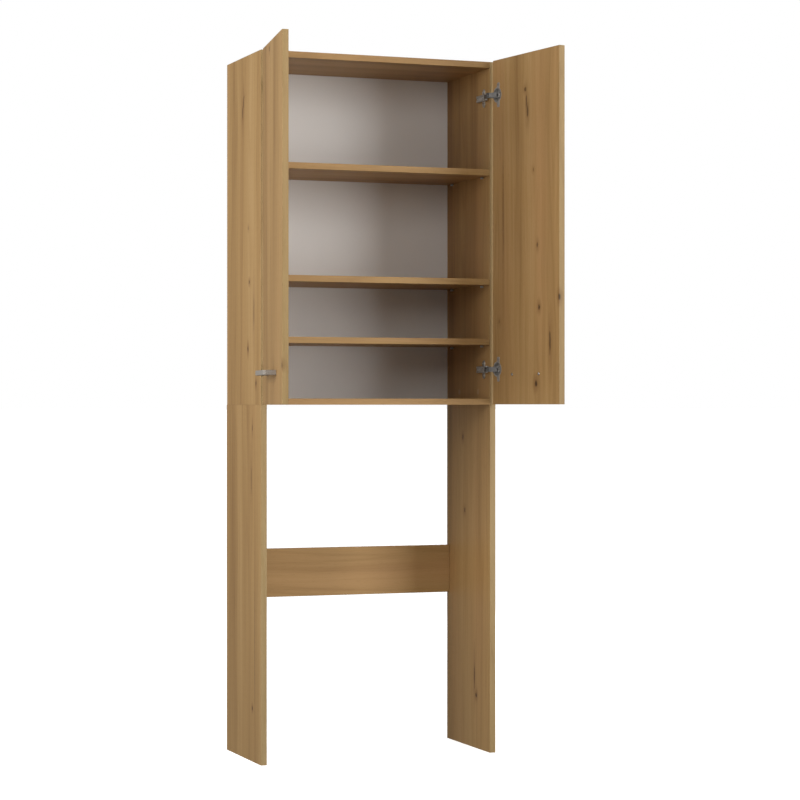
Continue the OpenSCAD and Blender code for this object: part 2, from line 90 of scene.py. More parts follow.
def solids(node, place=None):
    """The boxes of a CAD node's separate solids, in the frame that place stands for."""
    bm = bmesh.new()
    bm.from_mesh(NODES[node].data)
    bmesh.ops.remove_doubles(bm, verts=bm.verts, dist=MERGE)
    back = (place or Matrix.Identity(4)).inverted()
    found, seen = [], set()
    for start in bm.verts:
        if start in seen:
            continue
        seen.add(start)
        island, queue = [], [start]
        while queue:
            vert = queue.pop()
            island.append(back @ vert.co)
            for edge in vert.link_edges:
                other = edge.other_vert(vert)
                if other not in seen:
                    seen.add(other)
                    queue.append(other)
        found.append(corners(island))
    bm.free()
    return sorted(found, key=lambda b: tuple(round(c, 5) for c in (*b[0], *b[1])))


# -------- shader helpers

class Graph:
    """Adds nodes to a shader tree and links them on the way."""

    def __init__(self, tree):
        self.tree = tree

    def add(self, kind, ins=None, **settings):
        node = self.tree.nodes.new(kind)
        for key, value in settings.items():
            setattr(node, key, value)
        for key, value in (ins or {}).items():
            self.feed(node.inputs[key], value)
        return node

    def feed(self, socket, value):
        if isinstance(value, bpy.types.NodeSocket):
            self.tree.links.new(value, socket)
        else:
            socket.default_value = value

    def math(self, operation, *values):
        node = self.add("ShaderNodeMath", operation=operation)
        for socket, value in zip(node.inputs, values):
            self.feed(socket, value)
        return node.outputs[0]

    def vector(self, operation, *values):
        node = self.add("ShaderNodeVectorMath", operation=operation)
        for socket, value in zip(node.inputs, values):
            self.feed(socket, value)
        return node.outputs["Value" if operation == "LENGTH" else "Vector"]

    def times(self, first, second):
        return self.math("MULTIPLY", first, second)

    def scaled(self, vector, scale):
        return self.vector("MULTIPLY", vector, scale)

    def source(self, key):
        """Points or normals of the object, from its texture coordinates."""
        return self.add("ShaderNodeTexCoord").outputs[key]

    def split(self, vector):
        return self.add("ShaderNodeSeparateXYZ", {0: vector}).outputs

    def noise(self, vector, scale, detail, roughness=0.5, distortion=0.0):
        node = self.add("ShaderNodeTexNoise", {
            "Vector": self.scaled(vector, scale), "Scale": 1.0, "Detail": detail,
            "Roughness": roughness, "Distortion": distortion,
        })
        return node.outputs[0]

    def ramp(self, value, low, high, out_low=0.0, out_high=1.0, smooth=True):
        node = self.add("ShaderNodeMapRange", {
            "Value": value, "From Min": low, "From Max": high,
            "To Min": out_low, "To Max": out_high,
        }, interpolation_type="SMOOTHSTEP" if smooth else "LINEAR")
        return node.outputs[0]

    def mix(self, factor, first, second, blend="MIX", kind="Color"):
        """Mixes two colours, or two vectors if kind is "Vector"."""
        data_type = "RGBA" if kind == "Color" else "VECTOR"
        node = self.add("ShaderNodeMix", data_type=data_type, blend_type=blend)
        for key, value in (("Factor_Float", factor), ("A_" + kind, first), ("B_" + kind, second)):
            socket = next(s for s in node.inputs if s.identifier == key)
            self.feed(socket, (*value, 1) if isinstance(value, tuple) else value)
        return next(s for s in node.outputs if s.identifier == "Result_" + kind)

    def surface(self, shader, colour, roughness, height, strength, distance):
        """Feeds a shader its colour and roughness, and a bump of a strength and distance."""
        bump = self.add("ShaderNodeBump", {
            "Height": height, "Strength": strength, "Distance": distance})
        for key, value in (("Base Color", colour), ("Roughness", roughness),
                           ("Normal", bump.outputs[0])):
            self.feed(shader.inputs[key], value)


def node_group(name, ins, outs):
    group = bpy.data.node_groups.new(name, "ShaderNodeTree")
    for socket, kind in ins:
        group.interface.new_socket(socket, in_out="INPUT", socket_type="NodeSocket" + kind)
    for socket, kind in outs:
        group.interface.new_socket(socket, in_out="OUTPUT", socket_type="NodeSocket" + kind)
    graph = Graph(group)
    return graph, graph.add("NodeGroupInput").outputs, graph.add("NodeGroupOutput").inputs, group


def new_material(name):
    """A material with only an output and a principled shader: (material, graph, shader)."""
    material = bpy.data.materials.new(name)
    material.use_nodes = True
    graph = Graph(material.node_tree)
    material.node_tree.nodes.clear()
    shader = graph.add("ShaderNodeBsdfPrincipled")
    out = graph.add("ShaderNodeOutputMaterial")
    material.node_tree.links.new(shader.outputs[0], out.inputs[0])
    return material, graph, shader


# -------- oak decor

def knot_group():
    """One oval mark: pulls the grain round it and darkens its middle."""
    graph, given, out, group = node_group(
        "knot_mark",
        [("Place", "Vector"), ("Grain", "Vector"), ("Dark", "Float"), ("Halo", "Float"),
         ("Centre", "Vector"), ("Size", "Vector"), ("Strength", "Float")],
        [("Grain", "Vector"), ("Dark", "Float"), ("Halo", "Float")])
    away = graph.vector("SUBTRACT", given["Place"], given["Centre"])
    rough = graph.noise(given["Place"], (210, 90, 210), detail=3)
    reach = graph.vector("LENGTH", graph.vector("DIVIDE", away, given["Size"]))
    ragged = graph.math("ADD", reach, graph.ramp(rough, 0, 1, -0.35, 0.35))
    core = graph.ramp(ragged, 0.45, 1.05, 1, 0)
    halo = graph.ramp(ragged, 0.8, 3.2, 1, 0)
    fade = graph.math("EXPONENT", graph.times(graph.math("POWER", reach, 2.0), -0.09))
    pull = graph.times(fade, -0.75)
    sideways = graph.scaled(away, (1, 0, 0))
    bend = graph.add("ShaderNodeVectorMath", {0: sideways, "Scale": pull}, operation="SCALE")
    grain = graph.vector("ADD", given["Grain"], bend.outputs["Vector"])
    graph.feed(out["Grain"], grain)
    for key, mask in (("Dark", core), ("Halo", halo)):
        strong = graph.times(mask, given["Strength"])
        graph.feed(out[key], graph.math("MAXIMUM", given[key], strong))
    return group


def wood_tone(graph, grain, fibre):
    """How light the wood is: strips as wide as a board's staves, thinner bands inside
    them, year rings and fibres."""
    strips = graph.noise(grain, (17, 0.5, 9), detail=1.5, roughness=0.45)
    bands = graph.noise(grain, (62, 1.1, 30), detail=2.5, roughness=0.55)
    rings = graph.noise(grain, (26, 0.9, 12), detail=0.6, distortion=0.15)
    wave = graph.math("PINGPONG", graph.times(rings, 15.0), 1.0)
    late = graph.math("POWER", wave, 2.4)
    tone = graph.times(graph.ramp(strips, 0.3, 0.7, smooth=False), 0.36)
    tone = graph.math("ADD", tone, graph.math("MULTIPLY_ADD", bands, 0.34, 0.06))
    tone = graph.math("ADD", tone, graph.times(late, -0.10))
    return graph.math("ADD", tone, graph.ramp(fibre, 0.2, 0.8, -0.10, 0.10, smooth=False))


def scattered_knots(graph, grain, strength):
    """A few knots that aren't placed one by one: (dark, halo)."""
    cells = graph.add("ShaderNodeTexVoronoi", {
        "Vector": graph.scaled(grain, (8.5, 2.6, 20)), "Scale": 1.0, "Randomness": 0.9,
    }, feature="F1")
    chosen = graph.add("ShaderNodeSeparateColor", {0: cells.outputs["Color"]})
    picked = graph.math("GREATER_THAN", chosen.outputs[0], 0.5)
    spread = graph.times(picked, strength)
    core = graph.ramp(cells.outputs["Distance"], 0.016, 0.036, 1, 0)
    halo = graph.ramp(cells.outputs["Distance"], 0.03, 0.11, 1, 0)
    return graph.times(core, spread), graph.times(halo, spread)


def decor_group():
    """Printed oak: x runs across the grain, y along it and z into the board, in metres."""
    graph, given, out, group = node_group(
        "oak_decor",
        [("Grain", "Vector"), ("Dark", "Float"), ("Halo", "Float"), ("Scatter", "Float")],
        [("Color", "Color"), ("Roughness", "Float"), ("Height", "Float")])
    grain = given["Grain"]
    wander = graph.noise(grain, (5.0, 1.3, 5.0), detail=2)
    sway = graph.ramp(wander, 0, 1, -0.03, 0.03, smooth=False)
    grain = graph.vector("ADD", grain, graph.add("ShaderNodeCombineXYZ", {0: sway}).outputs[0])
    fibre = graph.noise(grain, (820, 9, 400), detail=3, roughness=0.65)
    pores = graph.ramp(graph.noise(grain, (1500, 48, 900), detail=2), 0.6, 0.72)
    warm = graph.ramp(graph.noise(grain, (11, 0.8, 8), detail=1), 0.45, 0.8, 0, 0.55)
    dark, halo = scattered_knots(graph, grain, given["Scatter"])
    dark = graph.math("MAXIMUM", given["Dark"], dark)
    halo = graph.math("MAXIMUM", given["Halo"], halo)

    ramp = graph.add("ShaderNodeValToRGB", {"Fac": wood_tone(graph, grain, fibre)})
    stops = ramp.color_ramp.elements
    stops[0].position, stops[0].color = 0.05, (0.258, 0.140, 0.050, 1)
    stops[1].position, stops[1].color = 0.85, (0.535, 0.350, 0.165, 1)
    middle = stops.new(0.42)
    middle.color = (0.410, 0.248, 0.098, 1)
    colour = graph.mix(warm, ramp.outputs[0], (0.46, 0.262, 0.112))
    colour = graph.mix(graph.times(pores, 0.3), colour, (0.20, 0.11, 0.045))
    colour = graph.mix(graph.times(halo, 0.58), colour, (0.235, 0.118, 0.044))
    colour = graph.mix(graph.times(dark, 0.86), colour, (0.048, 0.026, 0.012))
    graph.feed(out["Color"], colour)
    rough = graph.ramp(fibre, 0.2, 0.8, 0.40, 0.54, smooth=False)
    graph.feed(out["Roughness"], graph.math("ADD", rough, graph.times(pores, 0.12)))
    height = graph.math("SUBTRACT", graph.times(fibre, 0.4), pores)
    graph.feed(out["Height"], graph.math("SUBTRACT", height, graph.times(dark, 0.8)))
    return group


KNOT = knot_group()
DECOR = decor_group()
BAND_THICK = 1.1 * MM
JOINT_TINT = (0.12, 0.065, 0.028)
SQUARE_ON = 0.7


def in_board(graph, vector, place, order, as_point):
    """The vector in the board's own frame, with the axes in grain order."""
    if place.determinant() < 0:
        vector = graph.scaled(vector, (-1, 1, 1))
        place = Matrix.Scale(-1, 4, (1, 0, 0)) @ place
    node = graph.add("ShaderNodeMapping", {
        "Vector": vector, "Rotation": (0, 0, place.to_euler().z)}, vector_type="TEXTURE")
    if as_point:
        node.inputs["Location"].default_value = place.translation
    parts = graph.split(node.outputs[0])
    sorted_out = {i: parts[axis] for i, axis in enumerate(order)}
    return graph.add("ShaderNodeCombineXYZ", sorted_out).outputs[0]


def squarely(graph, part):
    """1 where a face's normal runs along the axis of this part of it."""
    return graph.math("GREATER_THAN", graph.math("ABSOLUTE", part), SQUARE_ON)


def add_marks(graph, marks, spot, grain, size):
    """Puts a board's marks in a row: (grain, dark, halo) after the last one."""
    dark = halo = 0.0
    for across, along, face, half_w, half_l, strength in marks:
        middle = [low + share * (high - low)
                  for low, high, share in zip(*size, (across, along, face))]
        mark = graph.add("ShaderNodeGroup", node_tree=KNOT)
        for key, value in (
                ("Place", spot), ("Grain", grain), ("Dark", dark), ("Halo", halo),
                ("Centre", middle), ("Size", (half_w, half_l, 5 * MM)),
                ("Strength", strength)):
            graph.feed(mark.inputs[key], value)
        grain, dark, halo = (mark.outputs[key] for key in ("Grain", "Dark", "Halo"))
    return grain, dark, halo


def band_joint(graph, spot_parts, size):
    """1 on the fine joint between a face and the band round it."""
    from_edge = None
    for axis in (0, 1):
        for corner in size:
            run = graph.math("ABSOLUTE", graph.math("SUBTRACT", spot_parts[axis], corner[axis]))
            from_edge = run if from_edge is None else graph.math("MINIMUM", from_edge, run)
    from_joint = graph.math("ABSOLUTE", graph.math("SUBTRACT", from_edge, BAND_THICK))
    return graph.ramp(from_joint, 0.05 * MM, 0.2 * MM, 0.45, 0)


def oak_material(name, place, order, size, marks, scatter, seed, band):
    """Oak decor for one board. place takes the board's own frame to the row frame, order
    lists which of its axes run across the grain, along it and into the board, and size is
    the board's extent on them. scatter is the face that gets knots of its own and how
    strong they are, or None for both faces. band tints the edge band: partly its own tone,
    partly painted shade and a grey painted sheen."""
    material, graph, shader = new_material(name)
    spot = in_board(graph, graph.source("Object"), place, order, True)
    facing = in_board(graph, graph.source("Normal"), place, order, False)
    facing_parts = graph.split(facing)
    spot_parts = graph.split(spot)
    # the band glued round the edges runs its grain along each edge
    turned = graph.add("ShaderNodeCombineXYZ", {
        0: spot_parts[2], 1: spot_parts[0], 2: spot_parts[1]}).outputs[0]
    grain = graph.mix(squarely(graph, facing_parts[1]), spot, turned, kind="Vector")
    grain = graph.vector("ADD", grain, (seed, 3.1 * seed, 1.7 * seed))
    grain, dark, halo = add_marks(graph, marks, spot, grain, size)
    decor = graph.add("ShaderNodeGroup", {"Grain": grain, "Dark": dark, "Halo": halo},
                      node_tree=DECOR)
    if scatter is None:
        decor.inputs["Scatter"].default_value = 1.0
    else:
        face, part = scatter
        middle = (size[0][2] + size[1][2]) / 2
        side = graph.math("GREATER_THAN" if face else "LESS_THAN", spot_parts[2], middle)
        graph.feed(decor.inputs["Scatter"], graph.times(side, part))
    # the edge tint: partly the band's own tone, partly painted shade and a grey painted sheen
    colour = graph.mix(
        squarely(graph, facing_parts[0]), decor.outputs["Color"], band, "MULTIPLY")
    line = graph.times(band_joint(graph, spot_parts, size),
                      squarely(graph, facing_parts[2]))
    colour = graph.mix(line, colour, JOINT_TINT)
    graph.surface(shader, colour, decor.outputs["Roughness"], decor.outputs["Height"],
                  0.35, 0.05 * MM)
    shader.inputs["IOR"].default_value = 1.46
    shader.inputs["Specular IOR Level"].default_value = 0.22
    return material


# -------- other materials

def metal(name, colour, rough, stretch, worn, tint, metallic=1.0):
    """Plated metal: fine lines along one axis, cloudy plating and dull rubbed patches."""
    material, graph, shader = new_material(name)
    spot = graph.source("Object")
    lines = graph.noise(spot, stretch, detail=4, roughness=0.6)
    cloud = graph.noise(spot, (90, 90, 90), detail=3)
    speck = graph.noise(spot, (900, 900, 900), detail=2)
    rubbed = graph.ramp(cloud, 0.48, 0.68, 0, worn)
    shade = graph.mix(graph.ramp(lines, 0.3, 0.7, 0, 0.5), colour, tint)
    wear = graph.ramp(lines, 0.2, 0.8, rough - 0.05, rough + 0.09, smooth=False)
    wear = graph.math("ADD", wear, graph.times(rubbed, 0.2))
    height = graph.math("ADD", graph.times(lines, 0.7), speck)
    graph.surface(shader, graph.mix(rubbed, shade, tint), wear, height, 0.2, 0.04 * MM)
    shader.inputs["Metallic"].default_value = metallic
    return material


def back_board_material():
    """Hardboard: white foil towards the shelves, raw brown fibres towards the wall."""
    material, graph, shader = new_material("back_board")
    spot = graph.source("Object")
    raw = graph.math("GREATER_THAN", graph.split(graph.source("Normal"))[1], -0.5)
    peel = graph.noise(spot, (260, 260, 260), detail=3)
    cloud = graph.noise(spot, (5, 5, 3), detail=2)
    foil = graph.mix(graph.ramp(cloud, 0.3, 0.7, 0, 1), (0.80, 0.785, 0.765), (0.765, 0.75, 0.73))
    chips = graph.noise(spot, (420, 420, 150), detail=5, roughness=0.7)
    grit = graph.noise(spot, (1300, 1300, 1300), detail=2)
    brown = graph.mix(graph.ramp(chips, 0.3, 0.7, 0, 1), (0.115, 0.062, 0.03), (0.26, 0.155, 0.082))
    brown = graph.mix(graph.ramp(grit, 0.58, 0.75, 0, 0.6), brown, (0.36, 0.24, 0.14))
    rough = graph.times(raw, 0.35)
    rough = graph.math("ADD", graph.ramp(peel, 0.3, 0.7, 0.42, 0.52), rough)
    height = graph.times(graph.times(chips, raw), 1.5)
    height = graph.math("ADD", graph.times(peel, 0.3), height)
    graph.surface(shader, graph.mix(raw, foil, brown), rough, height, 0.3, 0.1 * MM)
    return material


def beech_material():
    material, graph, shader = new_material("beech")
    spot = graph.source("Object")
    rings = graph.noise(spot, (60, 500, 500), detail=3)
    flecks = graph.ramp(graph.noise(spot, (500, 1500, 1500), detail=2), 0.6, 0.7)
    colour = graph.mix(rings, (0.62, 0.43, 0.25), (0.74, 0.55, 0.35))
    colour = graph.mix(graph.times(flecks, 0.5), colour, (0.42, 0.26, 0.13))
    rough = graph.ramp(rings, 0.3, 0.7, 0.6, 0.75)
    graph.surface(shader, colour, rough, rings, 0.3, 0.05 * MM)
    return material


def cap_material():
    """Moulded plastic caps in the colour of the boards."""
    material, graph, shader = new_material("cap_plastic")
    spot = graph.source("Object")
    streak = graph.noise(spot, (700, 700, 60), detail=3)
    grain = graph.noise(spot, (2500, 2500, 2500), detail=1)
    streak = graph.ramp(streak, 0.35, 0.65, 0, 1)
    colour = graph.mix(streak, (0.36, 0.22, 0.10), (0.44, 0.28, 0.135))
    rough = graph.ramp(grain, 0.3, 0.7, 0.4, 0.5)
    graph.surface(shader, colour, rough, grain, 0.3, 0.03 * MM)
    return material


NICKEL = metal("nickel", (0.50, 0.48, 0.45), 0.42, (60, 900, 60), 0.5,
               (0.32, 0.305, 0.285), 0.55)
LINK = metal("link_steel", (0.12, 0.115, 0.11), 0.46, (900, 60, 60), 0.5,
             (0.07, 0.068, 0.064), 0.8)
ZINC = metal("zinc", (0.66, 0.67, 0.66), 0.34, (300, 300, 40), 0.5, (0.50, 0.51, 0.52))
SCREW = metal("screw", (0.50, 0.49, 0.47), 0.30, (500, 500, 500), 0.5, (0.34, 0.33, 0.32))
SATIN = metal("satin", (0.34, 0.305, 0.265), 0.74, (40, 40, 2600), 0.15,
              (0.29, 0.26, 0.225), 0.3)
BACK = back_board_material()
BEECH = beech_material()
CAP = cap_material()


# -------- CAD nodes that stay

def paint(node, material):
    obj = NODES[node]
    obj.data.materials.clear()
    obj.data.materials.append(material)


def meeting_faces(mesh):
    """Normals of the faces on both sides of each edge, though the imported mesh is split
    into separate faces there."""
    spots = [tuple(round(c * 1e5) for c in v.co) for v in mesh.vertices]
    sides = {}
    for face in mesh.polygons:
        ring = list(face.vertices)
        for a, b in zip(ring, ring[1:] + ring[:1]):
            sides.setdefault(frozenset((spots[a], spots[b])), []).append(face.normal.copy())
    return [sides.get(frozenset(spots[v] for v in edge.vertices), []) for edge in mesh.edges]


def weld(obj):
    """Joins the split faces again, drops the imported custom normals and marks the sharp edges."""
    mesh = obj.data
    meeting = meeting_faces(mesh)
    if "custom_normal" in mesh.attributes:
        mesh.attributes.remove(mesh.attributes["custom_normal"])
    sharp = mesh.attributes.get("sharp_edge")
    sharp = sharp or mesh.attributes.new("sharp_edge", "BOOLEAN", "EDGE")
    for i, normals in enumerate(meeting):
        sharp.data[i].value = len(normals) == 2 and normals[0].dot(normals[1]) < SHARP
    joined_up = obj.modifiers.new("weld", "WELD")
    joined_up.merge_threshold = MERGE
    return meeting


def clear_flats(obj):
    flats = obj.modifiers.new("flats", "DECIMATE")
    flats.decimate_type = "DISSOLVE"
    flats.angle_limit = math.radians(0.5)
    flats.delimit = {"SHARP"}


def round_outline(obj, width):
    """Rounds a board's twelve outer edges with modifiers, and leaves its bores alone."""
    mesh = obj.data
    meeting = weld(obj)
    weight = mesh.attributes.new("bevel_weight_edge", "FLOAT", "EDGE")
    for edge, normals in zip(mesh.edges, meeting):
        a, b = (mesh.vertices[v].co for v in edge.vertices)
        if len(normals) == 2 and normals[0].dot(normals[1]) < 0.5 and (a - b).length > 2.5 * MM:
            weight.data[edge.index].value = 1.0
    clear_flats(obj)
    bevel = obj.modifiers.new("rounding", "BEVEL")
    bevel.limit_method = "WEIGHT"
    bevel.width = width
    bevel.segments = 3
    bevel.use_clamp_overlap = False
    bevel.harden_normals = True


def soften(node, width):
    """Breaks the sharp edges of a small CAD part."""
    obj = NODES[node]
    weld(obj)
    clear_flats(obj)
    bevel = obj.modifiers.new("rounding", "BEVEL")
    bevel.limit_method = "ANGLE"
    bevel.angle_limit = math.radians(40)
    bevel.width = width
    bevel.segments = 2
    bevel.harden_normals = True


def in_order(box, order):
    return tuple(tuple(corner[i] for i in order) for corner in box)


WORLD = Matrix.Identity(4)
# the axes across the grain, along it and into the board
UPRIGHT = (1, 2, 0)
LEVEL = (1, 0, 2)
CROSSWISE = (2, 0, 1)
IN_DOOR = (0, 2, 1)
FAINT, PLAIN, STRONG = 0.45, 0.75, 1.0
# edge tint of upright boards and doors: partly the band's tone, partly painted shade and a grey
# painted sheen
UPRIGHT_BAND_TONE_AND_SHADE = (0.80, 0.89, 0.98)
PLAIN_BAND = (1.0, 1.0, 1.0)

# A board: its frame, the order of its axes, the face and strength of its own knots, a seed
# and its marks. A mark: across and along the board as shares of it, face 0 or 1, half
# width, half length and strength. Across starts at the front edge, or at a door's hinge
# edge, and along at the lower or the left end.
BOARDS = {
    "left_side_panel": (WORLD, UPRIGHT, (1, 1.0), 0.3, [
        (0.49, 0.885, 0, 0.006, 0.005, FAINT),
        (0.50, 0.868, 0, 0.0035, 0.022, PLAIN), (0.53, 0.842, 0, 0.0035, 0.020, PLAIN),
        (0.36, 0.505, 0, 0.004, 0.006, FAINT),
        (0.33, 0.35, 0, 0.005, 0.006, PLAIN), (0.20, 0.26, 0, 0.006, 0.050, FAINT),
        (0.37, 0.16, 0, 0.0045, 0.010, STRONG), (0.14, 0.06, 0, 0.004, 0.009, STRONG)]),
    "right_side_panel": (WORLD, UPRIGHT, (1, 1.0), 1.9, []),
    "left_leg_panel": (WORLD, UPRIGHT, (1, 1.0), 2.6, [
        (0.24, 0.935, 0, 0.003, 0.012, PLAIN), (0.27, 0.79, 0, 0.005, 0.050, FAINT),
        (0.24, 0.15, 0, 0.004, 0.006, STRONG), (0.17, 0.30, 0, 0.003, 0.200, FAINT)]),
    "right_leg_panel": (WORLD, UPRIGHT, (1, 1.0), 4.2, [
        (0.62, 0.905, 0, 0.005, 0.009, PLAIN), (0.575, 0.69, 0, 0.005, 0.008, PLAIN),
        (0.35, 0.21, 0, 0.004, 0.040, PLAIN), (0.31, 0.155, 0, 0.006, 0.008, STRONG)]),
    "top_panel": (WORLD, LEVEL, None, 5.7, []),
    "bottom_panel": (WORLD, LEVEL, None, 6.4, []),
    "upper_shelf": (WORLD, LEVEL, None, 7.3, []),
    "middle_shelf": (WORLD, LEVEL, None, 8.8, []),
    "lower_shelf": (WORLD, LEVEL, None, 9.1, []),
    "rear_brace": (WORLD, CROSSWISE, (1, 1.0), 10.4, []),
    "left_door": (OPEN["left"], IN_DOOR, (0, 1.0), 11.2, [
        (0.35, 0.98, 1, 0.006, 0.008, PLAIN), (0.99, 0.105, 1, 0.004, 0.008, STRONG),
        (0.58, 0.10, 1, 0.003, 0.022, FAINT)]),
    "right_door": (OPEN["right"], IN_DOOR, (1, 1.0), 12.9, [
        (0.50, 0.897, 0, 0.006, 0.007, PLAIN), (0.517, 0.862, 0, 0.0035, 0.024, PLAIN),
        (0.533, 0.835, 0, 0.005, 0.022, PLAIN),
        (0.62, 0.665, 0, 0.004, 0.006, FAINT), (0.68, 0.45, 0, 0.004, 0.009, PLAIN),
        (0.705, 0.275, 0, 0.005, 0.009, STRONG), (1.0, 0.30, 0, 0.005, 0.011, STRONG),
        (0.10, 0.24, 0, 0.005, 0.008, FAINT), (0.66, 0.06, 0, 0.007, 0.011, STRONG),
        (0.865, 0.175, 0, 0.005, 0.040, PLAIN), (0.16, 0.55, 0, 0.003, 0.170, FAINT)]),
}
for node, (place, order, scatter, seed, marks) in BOARDS.items():
    size = in_order(box_in(node, place), order)
    band = UPRIGHT_BAND_TONE_AND_SHADE if order in (UPRIGHT, IN_DOOR) else PLAIN_BAND
    paint(node, oak_material("oak." + node, place, order, size, marks, scatter, seed, band))
    round_outline(NODES[node], 0.7 * MM)

for node, material in (
        ("back_panel", BACK), ("cam_bolts", SCREW), ("cam_housings", ZINC),
        ("wooden_dowels", BEECH), ("cam_caps", CAP), ("hinge_arm_pins", NICKEL)):
    paint(node, material)
weld(NODES["back_panel"])
for node in ("cam_caps", "hinge_arm_pins"):
    soften(node, 0.25 * MM)
for side in SIDES:
    for level in LEVELS:
        for part in ("arm_link", "cup_link"):
            paint(f"{side}_{level}_{part}", LINK)
            soften(f"{side}_{level}_{part}", 0.3 * MM)
    for pins in ("link_pins", "hinge_cup_pins"):
        paint(f"{side}_{pins}", NICKEL)
        soften(f"{side}_{pins}", 0.25 * MM)


# -------- mesh helpers

def as_object(name, bm, material, sharp=35):
    """Makes a piece of the mesh, smooth but for edges sharper than the given angle."""
    bmesh.ops.recalc_face_normals(bm, faces=bm.faces)
    mesh = bpy.data.meshes.new(name)
    bm.to_mesh(mesh)
    bm.free()
    mesh.shade_smooth()
    mesh.set_sharp_from_angle(angle=math.radians(sharp))
    mesh.materials.append(material)
    obj = bpy.data.objects.new(name, mesh)
    bpy.context.scene.collection.objects.link(obj)
    return obj


def shape_of(obj):
    """The object's mesh with its modifiers worked in, as a bmesh. Removes the object."""
    graph = bpy.context.evaluated_depsgraph_get()
    made = obj.evaluated_get(graph)
    bm = bmesh.new()
    bm.from_mesh(made.to_mesh())
    made.to_mesh_clear()
    bpy.data.objects.remove(obj)
    return bm


def combine(solid, tool, operation):
    """Cuts the tool out of the solid, or joins the two; both are bmeshes."""
    body = as_object("solid", solid, SCREW)
    other = as_object("tool", tool, SCREW)
    step = body.modifiers.new("cut", "BOOLEAN")
    step.operation = operation
    step.solver = "EXACT"
    step.object = other
    bm = shape_of(body)
    bpy.data.objects.remove(other)
    return bm


def bridge(bm, rings, steps):
    """Fills in between rings of vertices. A ring of one vertex is a tip."""
    for low, high in zip(rings, rings[1:]):
        for i in range(steps):
            j = (i + 1) % steps
            face = [low[i % len(low)], low[j % len(low)], high[j % len(high)],
                    high[i % len(high)]]
            bm.faces.new(list(dict.fromkeys(face)))


def lathe(profile, steps=32):
    """Turns (radius, height) points round z. A point on the axis closes an end."""
    circle = [2 * math.pi * i / steps for i in range(steps)]
    bm = bmesh.new()
    rings = []
    for radius, height in profile:
        rings.append([bm.verts.new((radius * math.cos(a), radius * math.sin(a), height))
                      for a in (circle if radius else circle[:1])])
    bridge(bm, rings, steps)
    return bm


def prism(outline, low, high, rounding=0.0, segments=2):
    """Raises a closed outline from low to high, with every sharp edge rounded."""
    bm = bmesh.new()
    base = bm.faces.new([bm.verts.new((x, y, low)) for x, y in outline])
    bm.normal_update()
    raised = bmesh.ops.extrude_face_region(bm, geom=[base])["geom"]
    verts = [part for part in raised if isinstance(part, bmesh.types.BMVert)]
    bmesh.ops.translate(bm, verts=verts, vec=(0, 0, high - low))
    bmesh.ops.recalc_face_normals(bm, faces=bm.faces)
    break_edges(bm, rounding, segments)
    return bm


def break_edges(bm, rounding, segments, limit=40):
    if not rounding:
        return
    bm.normal_update()
    sharp = [e for e in bm.edges if e.is_manifold
             and e.calc_face_angle() > math.radians(limit)]
    bmesh.ops.bevel(bm, geom=sharp, offset=rounding, segments=segments, profile=0.5,
                    affect="EDGES", clamp_overlap=True)


def arc(x, y, radius, start, end, steps):
    """Points of an arc, with its angles in degrees."""
    return [(x + radius * math.cos(math.radians(a)), y + radius * math.sin(math.radians(a)))
            for a in (start + (end - start) * i / steps for i in range(steps + 1))]


def capsule(x, y, half, radius, steps=10):
    """Outline of a slot that runs along y."""
    return arc(x, y + half, radius, 0, 180, steps) + arc(x, y - half, radius, 180, 360, steps)


def rounded_box(low, high, r):
    """Outline of a rectangle between two corners, with corners of radius r."""
    (x0, y0), (x1, y1) = low, high
    middles = ((x1 - r, y1 - r), (x0 + r, y1 - r), (x0 + r, y0 + r), (x1 - r, y0 + r))
    return [point for i, (x, y) in enumerate(middles)
            for point in arc(x, y, r, 90 * i, 90 * i + 90, 5)]


def joined(parts):
    """One bmesh of several (bmesh, matrix) pairs; the bmeshes stay usable."""
    whole = bmesh.new()
    for bm, place in parts:
        mesh = bpy.data.meshes.new("part")
        bm.to_mesh(mesh)
        mesh.transform(place)
        if place.determinant() < 0:
            mesh.flip_normals()
        whole.from_mesh(mesh)
        bpy.data.meshes.remove(mesh)
    return whole


def put(name, parts, material, body, replaced, sharp=35):
    """A finished piece that rides on its body and stands for its CAD node."""
    piece = as_object(name, joined(parts), material, sharp)
    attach(piece, body)
    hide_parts(replaced)
    return piece


def along(axis, flip=False):
    """Rotation that takes z to the named axis, the other way round if flipped."""
    turned = {"x": Matrix.Rotation(math.pi / 2, 4, "Y"),
              "y": Matrix.Rotation(-math.pi / 2, 4, "X"), "z": Matrix.Identity(4)}[axis]
    return turned @ Matrix.Rotation(math.pi, 4, "X") if flip else turned


def at(point, turn=WORLD):
    return Matrix.Translation(point) @ turn


# takes an outline's x and y to y and z, and its height to x
SIDEWAYS = Matrix(((0, 0, 1, 0), (1, 0, 0, 0), (0, 1, 0, 0), (0, 0, 0, 1)))


# -------- screws and pins

def cross_arm(size, top, depth, turn):
    """One arm of the tapered cross that cuts a screw's recess down from its top."""
    thin, taper, clear = 0.24, 0.45, 0.3 * MM
    tool = bmesh.new()
    bmesh.ops.create_cube(tool, size=1)
    for vert in tool.verts:
        narrow = 1.0 if vert.co.z > 0 else taper
        vert.co.x *= size * narrow
        vert.co.y *= thin * size * narrow
        vert.co.z = top + (clear if vert.co.z > 0 else -depth)
    tool.transform(Matrix.Rotation(turn, 4, "Z"))
    return tool


